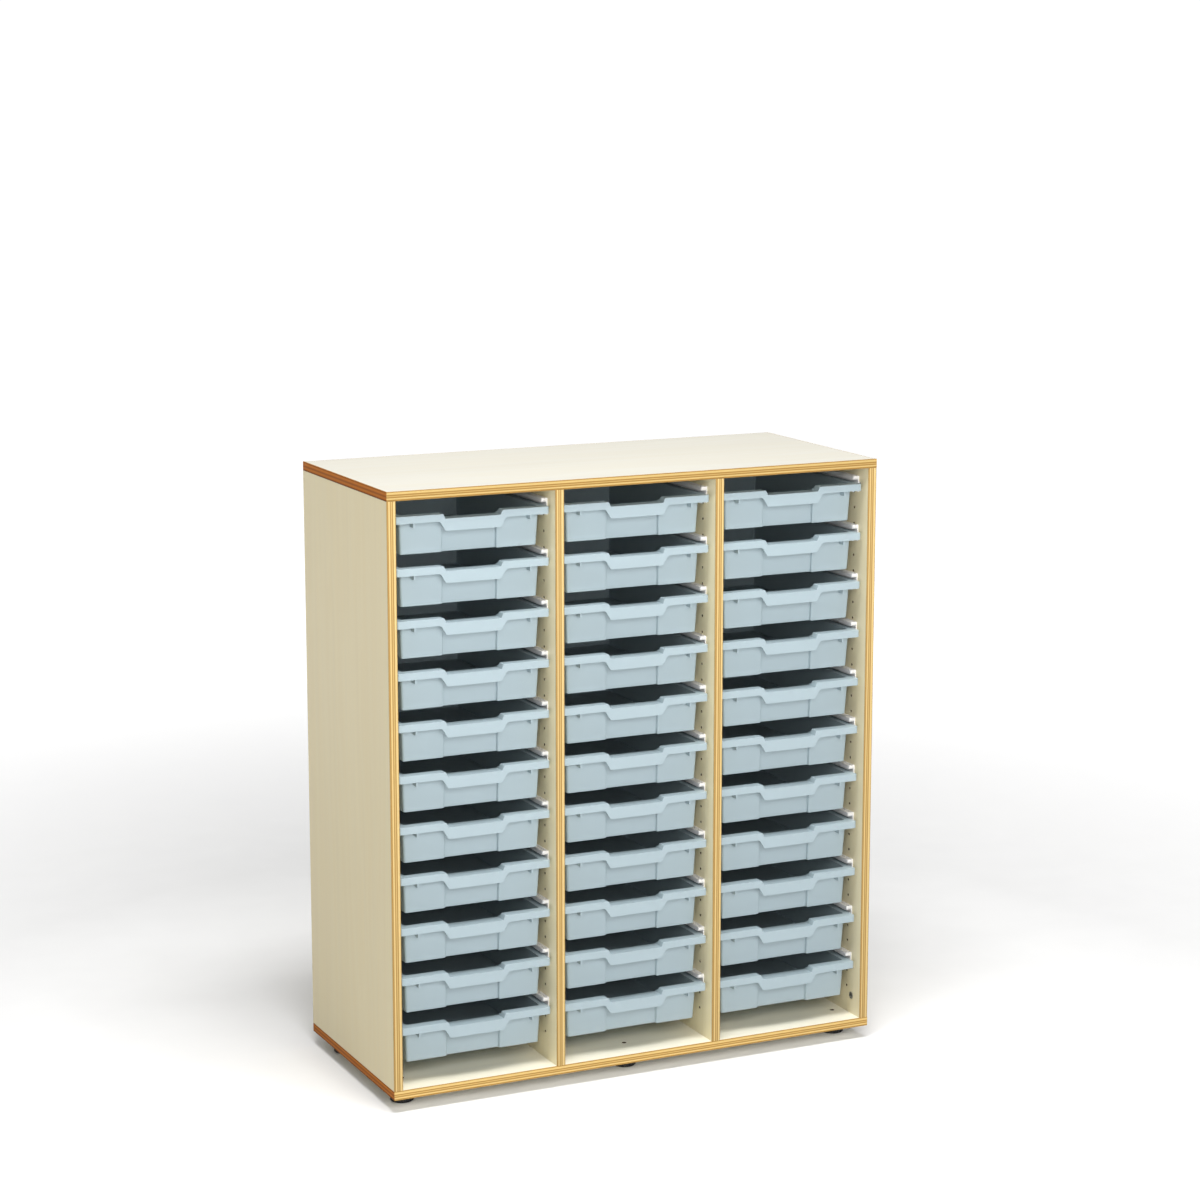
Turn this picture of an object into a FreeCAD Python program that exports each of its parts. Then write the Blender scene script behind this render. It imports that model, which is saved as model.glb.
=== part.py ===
import FreeCAD, Part
import os
import Sketcher

# Classroom tray storage unit: a carcass of 18 mm faced board, three bays
# wide, with eleven shallow trays in each bay. The trays hang by their side
# rims on plastic runners and slide out to the front.
#
# Frame: +Z up, front faces -Y, +X to the right as seen from the front.
# Origin: centre of the footprint, on the floor. Millimetres.

V = FreeCAD.Vector
doc = FreeCAD.newDocument("tray_storage_unit")
sheet = doc.addObject("Spreadsheet::Sheet", "dims")
sheet.Label = "dims"

# ------------------------------------------------------------------ sizes

SIZES = [
    ("unit_width", 1035, "overall width"),
    ("unit_depth", 450, "overall depth"),
    ("carcass_height", 1168, "carcass without its feet"),
    ("board", 18, "thickness of every carcass board"),
    ("edging", 2, "thickness of the edging"),
    ("edging_round", 1.2, "rounding of the edging's outer edges"),
    ("foot_height", 26, "floor to the underside of the base"),
    ("bay_width", 321, "clear width of one bay"),
    ("back_thick", 6, "back panel thickness"),
    ("back_rebate", 9, "width of the rebate that takes the back panel"),
    ("row_pitch", 98.3, "tray to tray"),
    ("top_rim", 1117.5, "rim of the top tray above the carcass underside"),
    # trays
    ("tray_width", 310, "tray over its rims"),
    ("tray_length", 425, "tray over its rims, front to back"),
    ("tray_height", 75, "tray height"),
    ("tray_wall", 2.2, "tray wall"),
    ("tray_body", 283, "width of the tray body below the rim"),
    ("tray_setback", 18, "front wall behind the front flange"),
    ("tray_back_rim", 10, "rear rim behind the rear wall"),
    ("tray_front_gap", 16, "front flange behind the front of the carcass"),
    ("tray_draft", 3, "draft of the tray walls in degrees"),
    ("tray_corner", 4.5, "corner radius of the tray body"),
    ("tray_foot_round", 1.8, "rounding under the tray"),
    ("rim_depth", 13.8, "depth of the turned-down rim"),
    ("rim_corner", 4.5, "corner radius of the rim"),
    ("recess_half", 55, "half width of the recess in the front wall"),
    ("recess_depth", 6.4, "depth of the recess in the front wall"),
    ("dip", 9.2, "drop of the rim at the handle"),
    ("dip_half", 55.5, "half width of the dropped part"),
    ("dip_run", 4.5, "length of each slope down to it"),
    ("handle_low", 32, "bottom of the handle below the rim"),
    ("handle_run", 11.3, "length of each slope under the handle"),
    ("flange_thick", 2.4, "thickness of the front flange"),
    ("gusset_at", 117.75, "gusset either side of the centre"),
    ("gusset_thick", 3.5, "gusset thickness"),
    ("gusset_low", 22.5, "bottom of the gusset below the rim"),
    # runners
    ("runner_depth", 12.5, "runner from the board's face"),
    ("runner_web", 2, "web against the board"),
    ("runner_up", 13, "top of the runner above the rim"),
    ("runner_down", 19, "bottom of the runner below the rim"),
    ("runner_lip_gap", 4.3, "upper lip above the rim"),
    ("runner_ledge", 14, "ledge below the rim top"),
    ("runner_length", 393, "runner length"),
    ("runner_front", 37, "front of the runner behind the carcass front"),
    ("runner_round", 3, "rounding of the lip and ledge at the front"),
    ("runner_lead", 5, "length of the lead-in under the lip"),
    ("screw_first", 90, "first runner screw behind the carcass front"),
    ("screw_pitch", 260, "runner screw to runner screw"),
    ("screw_rad", 1.75, "screw shank radius"),
    ("screw_head_rad", 3.4, "screw head radius"),
    ("screw_head", 2, "screw head height"),
    ("screw_bite", 8, "screw length in the board"),
    ("back_screw_bite", 17, "back panel screw length behind its head"),
    # bored rows
    ("hole_rad", 2.5, "radius of the bored holes"),
    ("hole_deep", 12, "depth of the bored holes in the side panels"),
    ("hole_front", 54, "front row behind the carcass front"),
    ("hole_rear", 390, "rear row behind the carcass front"),
    ("hole_first", 73, "lowest hole above the carcass underside"),
    ("hole_pitch", 32, "hole to hole"),
    ("hole_rows", 33, "holes in a row"),
    # knock-down fittings
    ("cam_rad", 7.5, "cam radius"),
    ("cam_deep", 12.5, "cam height"),
    ("cam_end", 38, "cam centre from the end of the board"),
    ("cam_front", 36, "front cams behind the carcass front"),
    ("cam_rear", 400, "rear cams behind the carcass front"),
    ("bolt_rad", 3.4, "cam bolt radius"),
    ("bolt_bite", 11, "cam bolt thread in the top or base"),
    ("bolt_past", 3, "cam bolt past the middle of the cam"),
    ("dowel_rad", 4, "dowel radius"),
    ("dowel_half", 14, "half the length of a dowel"),
    ("dowel_front", 68, "front dowels behind the carcass front"),
    ("dowel_rear", 368, "rear dowels behind the carcass front"),
    # feet
    ("foot_in", 42.5, "outer feet in from the side of the carcass"),
    ("foot_front", 70, "front feet behind the carcass front"),
    ("foot_rear", 380, "rear feet behind the carcass front"),
    ("foot_rad", 23, "foot radius"),
    ("foot_pad", 10, "height of the foot's rim"),
    ("foot_collar", 15, "radius of the foot's collar"),
    ("stud_rad", 4, "foot stud radius"),
    ("stud_up", 16, "stud above the carcass underside"),
    ("stud_fit", 0.05, "clearance round the stud"),
    ("socket_rad", 7, "socket radius"),
    ("socket_flange", 14, "socket flange radius"),
    ("socket_flange_thick", 2, "socket flange thickness"),
    ("socket_up", 12, "socket in the base"),
    ("key_hole", 4.6, "radius of the adjusting hole over each foot"),
]


class Dim:
    """A size from the sheet, or a sum made of them, with its value."""

    def __init__(self, text, value):
        self.text, self.value = text, float(value)

    def _join(self, other, sign):
        other = dim(other)
        value = {"+": self.value + other.value, "-": self.value - other.value,
                 "*": self.value * other.value,
                 "/": self.value / other.value if other.value else 0.0}[sign]
        return Dim("(%s %s %s)" % (self.text, sign, other.text), value)

    def __add__(self, other):
        return self._join(other, "+")

    def __sub__(self, other):
        return self._join(other, "-")

    def __mul__(self, other):
        return self._join(other, "*")

    def __truediv__(self, other):
        return self._join(other, "/")

    def __radd__(self, other):
        return dim(other)._join(self, "+")

    def __rsub__(self, other):
        return dim(other)._join(self, "-")

    def __rmul__(self, other):
        return dim(other)._join(self, "*")

    def __neg__(self):
        return Dim("(0 - %s)" % self.text, -self.value)


def dim(x):
    return x if isinstance(x, Dim) else Dim(repr(float(x)), x)


for row, (alias, value, note) in enumerate(SIZES, start=1):
    sheet.set("A%d" % row, str(value))
    sheet.set("B%d" % row, note)
    sheet.setAlias("A%d" % row, alias)
doc.recompute()
D = {alias: Dim("dims." + alias, value) for alias, value, note in SIZES}

W, DEP, H, B = D["unit_width"], D["unit_depth"], D["carcass_height"], D["board"]
E, FH = D["edging"], D["foot_height"]
FRONT = -DEP / 2          # Y of the carcass front
BAY = D["bay_width"] + B  # bay to bay
PARTS = []                # sub-parts in file order


# ---------------------------------------------------------------- helpers

def new_body(label, at=(0, 0, 0)):
    body = doc.addObject("PartDesign::Body", label)
    body.Label = label
    body.AllowCompound = True
    place(body, at)
    PARTS.append(body)
    return body


def place(obj, at):
    obj.Placement = FreeCAD.Placement(V(*[dim(c).value for c in at]), FreeCAD.Rotation())
    for axis, c in zip("xyz", at):
        c = dim(c)
        if "dims." in c.text:
            obj.setExpression("Placement.Base." + axis, c.text)


def origin_part(body, role):
    return [f for f in body.Origin.OriginFeatures if f.Role == role][0]


def sketch(body, name, role, offset=0):
    """A sketch on one of the body's own origin planes, moved along its normal."""
    sk = body.newObject("Sketcher::SketchObject", body.Name + "_" + name)
    sk.AttachmentSupport = [(origin_part(body, role), "")]
    sk.MapMode = "FlatFace"
    offset = dim(offset)
    sk.AttachmentOffset = FreeCAD.Placement(V(0, 0, offset.value), FreeCAD.Rotation())
    if "dims." in offset.text:
        sk.setExpression("AttachmentOffset.Base.z", offset.text)
    return sk


def bind(sk, kind, args, size):
    size = dim(size)
    i = sk.addConstraint(Sketcher.Constraint(kind, *args, size.value))
    if "dims." in size.text:
        sk.setExpression("Constraints[%d]" % i, size.text)


def polygon(sk, points):
    points = [(dim(x), dim(y)) for x, y in points]
    n = len(points)
    at = [V(x.value, y.value, 0) for x, y in points]
    g = [sk.addGeometry(Part.LineSegment(at[i], at[(i + 1) % n]), False) for i in range(n)]
    for i in range(n):
        sk.addConstraint(Sketcher.Constraint("Coincident", g[i], 2, g[(i + 1) % n], 1))
    for i, (x, y) in enumerate(points):
        bind(sk, "DistanceX", (-1, 1, g[i], 1), x)
        bind(sk, "DistanceY", (-1, 1, g[i], 1), y)


def rectangle(sk, x0, y0, x1, y1):
    polygon(sk, [(x0, y0), (x1, y0), (x1, y1), (x0, y1)])


def circle(sk, x, y, r):
    x, y, r = dim(x), dim(y), dim(r)
    g = sk.addGeometry(Part.Circle(V(x.value, y.value, 0), V(0, 0, 1), r.value), False)
    bind(sk, "DistanceX", (-1, 1, g, 3), x)
    bind(sk, "DistanceY", (-1, 1, g, 3), y)
    bind(sk, "Radius", (g,), r)


def feature(body, kind, name, profile, length, back=False):
    """A Pad or Pocket of a sketch; back turns its direction round."""
    f = body.newObject("PartDesign::" + kind, body.Name + "_" + name)
    f.Profile = profile
    length = dim(length)
    f.Length = length.value
    if "dims." in length.text:
        f.setExpression("Length", length.text)
    f.Reversed = back
    doc.recompute()
    return f


def pad(body, name, profile, length, back=False):
    return feature(body, "Pad", name, profile, length, back)


def pocket(body, name, profile, length, back=False):
    before = body.Shape.Volume
    f = feature(body, "Pocket", name, profile, length, back)
    if not before - f.Shape.Volume > 0.5:
        raise RuntimeError("%s cuts nothing" % f.Name)
    return f


def row_of(body, name, items, role, pitch, count, whole=False):
    """A straight row of features, or of the whole body so far."""
    f = body.newObject("PartDesign::LinearPattern", body.Name + "_" + name)
    if whole:
        f.TransformMode = "Whole shape"
    else:
        f.Originals = items
    f.Direction = (origin_part(body, role), [""])
    count = dim(count)
    span = dim(pitch) * (count - 1)
    f.Occurrences = int(round(count.value))
    f.Length = abs(span.value)
    f.Reversed = span.value < 0
    text = span.text if span.value > 0 else "(0 - %s)" % span.text
    if "dims." in text:
        f.setExpression("Length", text)
    if "dims." in count.text:
        f.setExpression("Occurrences", count.text)
    body.Tip = f
    doc.recompute()
    return f


def mirror(body, name, items, role, whole=False):
    f = body.newObject("PartDesign::Mirrored", body.Name + "_" + name)
    if whole:
        f.TransformMode = "Whole shape"
    else:
        f.Originals = items
    f.MirrorPlane = (origin_part(body, role), [""])
    body.Tip = f
    doc.recompute()
    return f


def pick(shape, what, test):
    items = shape.Edges if what == "Edge" else shape.Faces
    return ["%s%d" % (what, i) for i, item in enumerate(items, start=1) if test(item)]


def round_edges(body, name, radius, test):
    base = body.Tip
    names = pick(base.Shape, "Edge", test)
    if not names:
        raise RuntimeError("%s_%s finds no edge" % (body.Name, name))
    f = body.newObject("PartDesign::Fillet", body.Name + "_" + name)
    f.Base = (base, names)
    radius = dim(radius)
    f.Radius = radius.value
    if "dims." in radius.text:
        f.setExpression("Radius", radius.text)
    doc.recompute()
    if "Invalid" in f.State or f.Shape.isNull() or not f.Shape.isValid():
        raise RuntimeError("%s failed" % f.Name)
    return f


def draft_faces(body, name, angle, test, back):
    base = body.Tip
    f = body.newObject("PartDesign::Draft", body.Name + "_" + name)
    f.Base = (base, pick(base.Shape, "Face", test))
    angle = dim(angle)
    f.Angle = angle.value
    f.setExpression("Angle", angle.text)
    f.NeutralPlane = (origin_part(body, "XY_Plane"), [""])
    f.Reversed = back
    doc.recompute()
    return f


def along(edge, axis, least=0.98):
    ends = edge.Vertexes[0].Point, edge.Vertexes[-1].Point
    run = ends[1] - ends[0]
    return run.Length > 1e-6 and abs(getattr(run, axis)) >= least * run.Length


def near(a, b, tol=0.05):
    return abs(a - dim(b).value) < tol


def clone(label, master, at):
    """Another piece of the same moulding or machining as an earlier body."""
    body = doc.addObject("PartDesign::Body", label)
    body.Label = label
    body.AllowCompound = True
    link = body.newObject("PartDesign::FeatureBase", label + "_copy")
    link.BaseFeature = master
    body.Tip = link
    place(body, at)
    PARTS.append(body)
    return body


# ---------------------------------------------------- top and base panels
# Full-width boards. Each lies on XY at its own underside; the edging closes
# all four edges. The back panel sits in a rebate along the inner rear edge.

UPRIGHTS = [  # left face of each upright, from the middle of the unit
    -W / 2, -W / 2 + BAY, -W / 2 + BAY * 2, W / 2 - B]


def horizontal_board(label, z, inner_up):
    body = new_body(label, (0, 0, z))
    sk = sketch(body, "outline", "XY_Plane")
    rectangle(sk, -W / 2 + E, FRONT + E, W / 2 - E, DEP / 2 - E)
    pad(body, "board", sk, B)
    face = B if inner_up else dim(0)

    # rebate for the back panel, open to the rear edge
    sk = sketch(body, "rebate", "XY_Plane", face)
    rectangle(sk, -W / 2 + D["back_rebate"], DEP / 2 - D["back_thick"],
              W / 2 - D["back_rebate"], DEP / 2 - E)
    pocket(body, "rebate_cut", sk, D["back_rebate"], back=not inner_up)

    # thread holes for the cam bolts and holes for the dowels
    for tag, front, rear, r, deep in (
            ("bolts", "cam_front", "cam_rear", "bolt_rad", "bolt_bite"),
            ("dowels", "dowel_front", "dowel_rear", "dowel_rad", "dowel_half")):
        sk = sketch(body, tag, "XY_Plane", face)
        for left in UPRIGHTS:
            for y in (front, rear):
                circle(sk, left + B / 2, FRONT + D[y], D[r])
        pocket(body, tag + "_cut", sk, D[deep], back=not inner_up)
    return body


top = horizontal_board("top_panel", FH + H - B, inner_up=False)
base = horizontal_board("base_panel", FH, inner_up=True)

FEET = [(x, y) for y in (FRONT + D["foot_front"], FRONT + D["foot_rear"])
        for x in (-W / 2 + D["foot_in"], dim(0), W / 2 - D["foot_in"])]
sk = sketch(base, "sockets", "XY_Plane")
for x, y in FEET:
    circle(sk, x, y, D["socket_rad"])
pocket(base, "sockets_cut", sk, D["socket_up"], back=True)
sk = sketch(base, "key_holes", "XY_Plane")
for x, y in FEET:
    circle(sk, x, y, D["key_hole"])
pocket(base, "key_holes_cut", sk, B, back=True)


# ---------------------------------------------------------------- uprights
# Side panels and dividers stand between top and base. Sketches on the YZ
# plane are drawn with Y from the middle of the depth and Z from the base.

UP = H - B * 2            # height of an upright
LOW = B                   # underside of an upright above the carcass underside


def upright(label, left, rear, left_face, right_face, cams_on):
    body = new_body(label, (left, 0, FH + LOW))
    sk = sketch(body, "outline", "YZ_Plane")
    rectangle(sk, FRONT + E, 0, rear, UP)
    pad(body, "board", sk, B)

    # cam pockets in the face that carries them
    on_right = cams_on == "right"
    sk = sketch(body, "cams", "YZ_Plane", B if on_right else 0)
    for y in ("cam_front", "cam_rear"):
        for z in (D["cam_end"], UP - D["cam_end"]):
            circle(sk, FRONT + D[y], z, D["cam_rad"])
    pocket(body, "cams_cut", sk, D["cam_deep"], back=not on_right)

    # bolt and dowel holes in both ends
    for tag, front, back_, r, deep in (
            ("bolts", "cam_front", "cam_rear", "bolt_rad", D["cam_end"] + D["bolt_past"]),
            ("dowels", "dowel_front", "dowel_rear", "dowel_rad", D["dowel_half"])):
        for end, z in (("low", dim(0)), ("high", UP)):
            sk = sketch(body, tag + "_" + end, "XY_Plane", z)
            for y in (front, back_):
                circle(sk, B / 2, FRONT + D[y], D[r])
            pocket(body, tag + "_" + end + "_cut", sk, deep, back=end == "low")

    # rows of bored holes and the runner screws' holes
    faces = [(side, x) for side, x, used in (
        ("left", dim(0), left_face), ("right", B, right_face)) if used]
    both = len(faces) == 2
    rows = faces[:1] if both else faces
    for side, x in rows:
        sk = sketch(body, "row", "YZ_Plane", x)
        for y in ("hole_front", "hole_rear"):
            circle(sk, FRONT + D[y], D["hole_first"] - LOW, D["hole_rad"])
        f = pocket(body, "row_cut", sk, B if both else D["hole_deep"], back=side == "left")
        row_of(body, "rows", [f], "Z_Axis", D["hole_pitch"], D["hole_rows"])
    for side, x in faces:
        sk = sketch(body, "screws_" + side, "YZ_Plane", x)
        for y in (D["screw_first"], D["screw_first"] + D["screw_pitch"]):
            circle(sk, FRONT + y, D["top_rim"] - D["row_pitch"] * 10 - LOW - SCREW_DROP,
                   D["screw_rad"])
        f = pocket(body, "screws_%s_cut" % side, sk, D["screw_bite"], back=side == "left")
        row_of(body, "screws_%s_row" % side, [f], "Z_Axis", D["row_pitch"], 11)
    return body


SCREW_DROP = D["runner_ledge"] / 2   # screws sit mid-channel below the rim top
BACK_FACE = DEP / 2 - D["back_thick"]

left_side = upright("left_side_panel", UPRIGHTS[0], DEP / 2, False, True, "right")
left_div = upright("left_divider", UPRIGHTS[1], BACK_FACE, True, True, "right")
right_div = upright("right_divider", UPRIGHTS[2], BACK_FACE, True, True, "right")
right_side = upright("right_side_panel", UPRIGHTS[3], DEP / 2, True, False, "left")

# the side panels carry the upright sides of the rebate for the back panel
for body, x0, x1 in ((left_side, D["back_rebate"], B), (right_side, dim(0), B - D["back_rebate"])):
    sk = sketch(body, "rebate", "XY_Plane")
    rectangle(sk, x0, BACK_FACE, x1, DEP / 2)
    pocket(body, "rebate_cut", sk, UP, back=True)

# -------------------------------------------------------------- back panel

back = new_body("back_panel", (0, BACK_FACE, FH + D["back_rebate"]))
sk = sketch(back, "outline", "XY_Plane")
rectangle(sk, -W / 2 + D["back_rebate"], 0, W / 2 - D["back_rebate"], D["back_thick"])
pad(back, "sheet", sk, H - D["back_rebate"] * 2)
BACK_W = W - D["back_rebate"] * 2
BACK_H = H - D["back_rebate"] * 2
# screw holes: into the rear edges of the dividers and of the top and base
BACK_SCREWS = []
for left in UPRIGHTS[1:3]:
    for k in range(4):
        BACK_SCREWS.append((left + B / 2, H * (0.2 + 0.2 * k) - D["back_rebate"]))
sk = sketch(back, "shank_holes", "XZ_Plane")
for x, z in BACK_SCREWS:
    circle(sk, x, z, D["screw_rad"])
pocket(back, "shank_holes_cut", sk, D["back_thick"], back=False)
for body, left in ((left_div, UPRIGHTS[1]), (right_div, UPRIGHTS[2])):
    sk = sketch(body, "rear_holes", "XZ_Plane", -BACK_FACE)
    for k in range(4):
        circle(sk, B / 2, H * (0.2 + 0.2 * k) - LOW, D["screw_rad"])
    pocket(body, "rear_holes_cut", sk, D["back_screw_bite"] - D["back_thick"], back=True)

# ------------------------------------------------------------------ edging
# Strips glued to the board edges, their outer long edges rounded.


def strips(label, at, groups, keep):
    """Groups of rectangles, each with its bottom and its height."""
    body = new_body(label, at)
    for i, (rects, low, height) in enumerate(groups, start=1):
        sk = sketch(body, "outline_%d" % i, "XY_Plane", low)
        for r in rects:
            rectangle(sk, *r)
        pad(body, "strips_%d" % i, sk, height)
    round_edges(body, "rounded", D["edging_round"], keep)
    return body


def outer_edge(edge):
    """Long outer edges of a lying frame of strips, above and below."""
    box = edge.BoundBox
    x, y = W.value / 2, DEP.value / 2
    if along(edge, "x") and box.XLength > 100:
        return near(abs(box.YMin), y) and not near(abs(box.ZMin), D["back_rebate"])
    if along(edge, "y") and box.YLength > 100:
        return near(abs(box.XMin), x)
    return False


# The rear strips are as high as the board beside the rebate. The strips
# butt at the corners with a hairline joint.
JOINT = 0.05
for label, z, rear_low in (("top_edge_strips", FH + H - B, D["back_rebate"]),
                           ("base_edge_strips", FH, dim(0))):
    strips(label, (0, 0, z), [
        ([(-W / 2, FRONT, W / 2, FRONT + E),
          (-W / 2, FRONT + E + JOINT, -W / 2 + E, DEP / 2),
          (W / 2 - E, FRONT + E + JOINT, W / 2, DEP / 2)], dim(0), B),
        ([(-W / 2 + E + JOINT, DEP / 2 - E, W / 2 - E - JOINT, DEP / 2)],
         rear_low, B - D["back_rebate"])], outer_edge)

strips("upright_edge_strips", (0, FRONT, FH + LOW),
       [([(left, 0, left + B, E) for left in UPRIGHTS], dim(0), UP)],
       lambda e: along(e, "z") and near(e.BoundBox.YMin, 0))


# ----------------------------------------------------------------- runners
# A channel screwed to the board: a thick upper lip with a groove, a web and
# a ledge that carries the tray's turned-down rim. The body of one bay is
# drawn with X from the middle of the bay and Z from the lowest tray's rim.

HALF = D["bay_width"] / 2
rd, up, down = D["runner_depth"], D["runner_up"], D["runner_down"]
BAYS = [("left", -BAY), ("middle", dim(0)), ("right", BAY)]
RIM_LOW = FH + D["top_rim"] - D["row_pitch"] * 10

runners = new_body("left_bay_runners", (-BAY, FRONT + D["runner_front"], RIM_LOW))
sk = sketch(runners, "section", "XZ_Plane")
x_in, x_web = HALF - rd, HALF - D["runner_web"]
groove = 1.1
polygon(sk, [
    (HALF, -down), (HALF, up),
    # top of the lip with one groove
    (HALF - rd * 0.42, up), (HALF - rd * 0.42, up - groove),
    (HALF - rd * 0.58, up - groove), (HALF - rd * 0.58, up),
    (x_in + 1, up), (x_in, up - 1),
    (x_in, D["runner_lip_gap"]), (x_web, D["runner_lip_gap"]),
    # channel, ledge and the hollow under it
    (x_web, -D["runner_ledge"]), (x_in, -D["runner_ledge"]),
    (x_in, -down), (x_in + 2, -down), (x_in + 2, -D["runner_ledge"] - 2.5),
    (x_web, -D["runner_ledge"] - 2.5), (x_web, -down)])
pad(runners, "channel", sk, D["runner_length"], back=True)
# a lead-in under the front of the lip
gap, lead = D["runner_lip_gap"], D["runner_lead"]
sk = sketch(runners, "lead", "YZ_Plane", x_in - 1)
polygon(sk, [(-1, gap - 1), (-1, gap + lead), (0, gap + lead), (lead * 0.1, gap + lead * 0.6),
             (lead * 0.4, gap + lead * 0.2), (lead, gap), (lead, gap - 1)])
pocket(runners, "lead_cut", sk, rd - D["runner_web"] + 1, back=True)
# the lip and ledge are rounded off at the front
round_edges(runners, "front_rounded", D["runner_round"],
            lambda e: along(e, "z", 0.999) and near(e.BoundBox.YMin, 0) and near(e.BoundBox.XMin, x_in)
            and e.BoundBox.ZLength > 2)
sk = sketch(runners, "screws", "YZ_Plane", HALF)
for y in (D["screw_first"], D["screw_first"] + D["screw_pitch"]):
    circle(sk, y - D["runner_front"], -SCREW_DROP, D["screw_rad"])
pocket(runners, "screws_cut", sk, D["runner_web"])
row_of(runners, "rows", [], "Z_Axis", D["row_pitch"], 11, whole=True)
mirror(runners, "pairs", [], "YZ_Plane", whole=True)
clone("middle_bay_runners", runners, (0, FRONT + D["runner_front"], RIM_LOW))
clone("right_bay_runners", runners, (BAY, FRONT + D["runner_front"], RIM_LOW))


# ------------------------------------------------------------------ screws

def screw(body, head_at, turn, bite, point):
    """A pan-head screw drawn on XY and turned about the sketch's X or Y."""
    r, hr, hh = D["screw_rad"], D["screw_head_rad"], D["screw_head"]
    sk = sketch(body, "section", "XY_Plane")
    if turn == "x":
        x0 = head_at
        polygon(sk, [(x0 - hh, 0), (x0 - hh, hr - 0.9), (x0 - hh + 0.5, hr - 0.2), (x0, hr), (x0, r),
                     (x0 + bite - point, r), (x0 + bite, 0)])
        axis = "H_Axis"
    else:
        y0 = head_at
        polygon(sk, [(0, y0 + hh), (hr - 0.9, y0 + hh), (hr - 0.2, y0 + hh - 0.5), (hr, y0), (r, y0),
                     (r, y0 - bite + point), (0, y0 - bite)])
        axis = "V_Axis"
    f = body.newObject("PartDesign::Revolution", body.Name + "_turned")
    f.Profile = sk
    f.ReferenceAxis = (sk, [axis])
    f.Angle = 360
    doc.recompute()
    return f


screws = new_body("runner_screws",
                  (-BAY, FRONT + D["screw_first"], RIM_LOW - SCREW_DROP))
screw(screws, HALF - D["runner_web"], "x", D["runner_web"] + D["screw_bite"], 2)
row_of(screws, "pair", [], "Y_Axis", D["screw_pitch"], 2, whole=True)
row_of(screws, "rows", [], "Z_Axis", D["row_pitch"], 11, whole=True)
mirror(screws, "both_sides", [], "YZ_Plane", whole=True)
row_of(screws, "bays", [], "X_Axis", BAY, 3, whole=True)

back_screws = new_body("back_panel_screws", (UPRIGHTS[1] + B / 2, DEP / 2, FH + H * 0.2))
screw(back_screws, dim(-2), "y", D["back_screw_bite"] - 2, 3)
row_of(back_screws, "rows", [], "Z_Axis", H * 0.2, 4, whole=True)
row_of(back_screws, "dividers", [], "X_Axis", BAY, 2, whole=True)
# the heads sink into the sheet so that they end flush with its face
sk = sketch(back, "heads", "XZ_Plane", -D["back_thick"])
for x, z in BACK_SCREWS:
    circle(sk, x, z, D["screw_head_rad"])
pocket(back, "heads_cut", sk, 2, back=True)

# ------------------------------------------------- cams, bolts and dowels
# The left side panel and both dividers carry their cams in the right face,
# the right side panel in its left face.

cams = new_body("cam_locks", (0, 0, FH + LOW))
MID = B / 2
for tag, face, back_, count in (("left", UPRIGHTS[0] + B, True, 3), ("right", UPRIGHTS[3], False, 1)):
    sk = sketch(cams, tag, "YZ_Plane", face)
    for y in ("cam_front", "cam_rear"):
        for z in (D["cam_end"], UP - D["cam_end"]):
            circle(sk, FRONT + D[y], z, D["cam_rad"])
    made = [pad(cams, tag + "_drums", sk, D["cam_deep"], back=back_)]
    sk = sketch(cams, tag + "_slots", "YZ_Plane", face)
    for y in ("cam_front", "cam_rear"):
        for z in (D["cam_end"], UP - D["cam_end"]):
            yy = FRONT + D[y]
            rectangle(sk, yy - 4.2, z - 0.8, yy + 4.2, z + 0.8)
    made.append(pocket(cams, tag + "_slots_cut", sk, 3, back=not back_))
    # the mouths that take the bolts' heads
    sk = sketch(cams, tag + "_mouths", "XY_Plane", D["cam_end"])
    x_mid = UPRIGHTS[0] + MID if tag == "left" else UPRIGHTS[3] + MID
    for y in ("cam_front", "cam_rear"):
        circle(sk, x_mid, FRONT + D[y], D["bolt_rad"] + 0.2)
    # one cut reaches from under the lower cams to over the upper ones
    f = cams.newObject("PartDesign::Pocket", cams.Name + "_" + tag + "_mouths_cut")
    f.Profile = sk
    f.Type = "ThroughAll"
    f.Midplane = True
    doc.recompute()
    made.append(f)
    if count > 1:
        row_of(cams, tag + "_boards", made, "X_Axis", BAY, count)

bolts = new_body("cam_bolts", (UPRIGHTS[0] + B / 2, 0, FH + LOW))
sk = sketch(bolts, "low", "XY_Plane", -D["bolt_bite"])
for y in ("cam_front", "cam_rear"):
    circle(sk, 0, FRONT + D[y], D["bolt_rad"])
pad(bolts, "low_rods", sk, D["bolt_bite"] + D["cam_end"] + D["bolt_past"])
sk = sketch(bolts, "high", "XY_Plane", UP + D["bolt_bite"])
for y in ("cam_front", "cam_rear"):
    circle(sk, 0, FRONT + D[y], D["bolt_rad"])
pad(bolts, "high_rods", sk, D["bolt_bite"] + D["cam_end"] + D["bolt_past"], back=True)
row_of(bolts, "boards", [], "X_Axis", BAY, 4, whole=True)

dowels = new_body("wooden_dowels", (UPRIGHTS[0] + B / 2, 0, FH + LOW))
for tag, z in (("low", dim(0)), ("high", UP)):
    sk = sketch(dowels, tag, "XY_Plane", z - D["dowel_half"])
    for y in ("dowel_front", "dowel_rear"):
        circle(sk, 0, FRONT + D[y], D["dowel_rad"])
    pad(dowels, tag + "_pegs", sk, D["dowel_half"] * 2)
row_of(dowels, "boards", [], "X_Axis", BAY, 4, whole=True)

# -------------------------------------------------------------------- feet
# A moulded disc with a collar on a threaded stud. The stud runs in a
# flanged socket let into the base and is turned from above with a key.

foot_gap = 0.2


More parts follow.
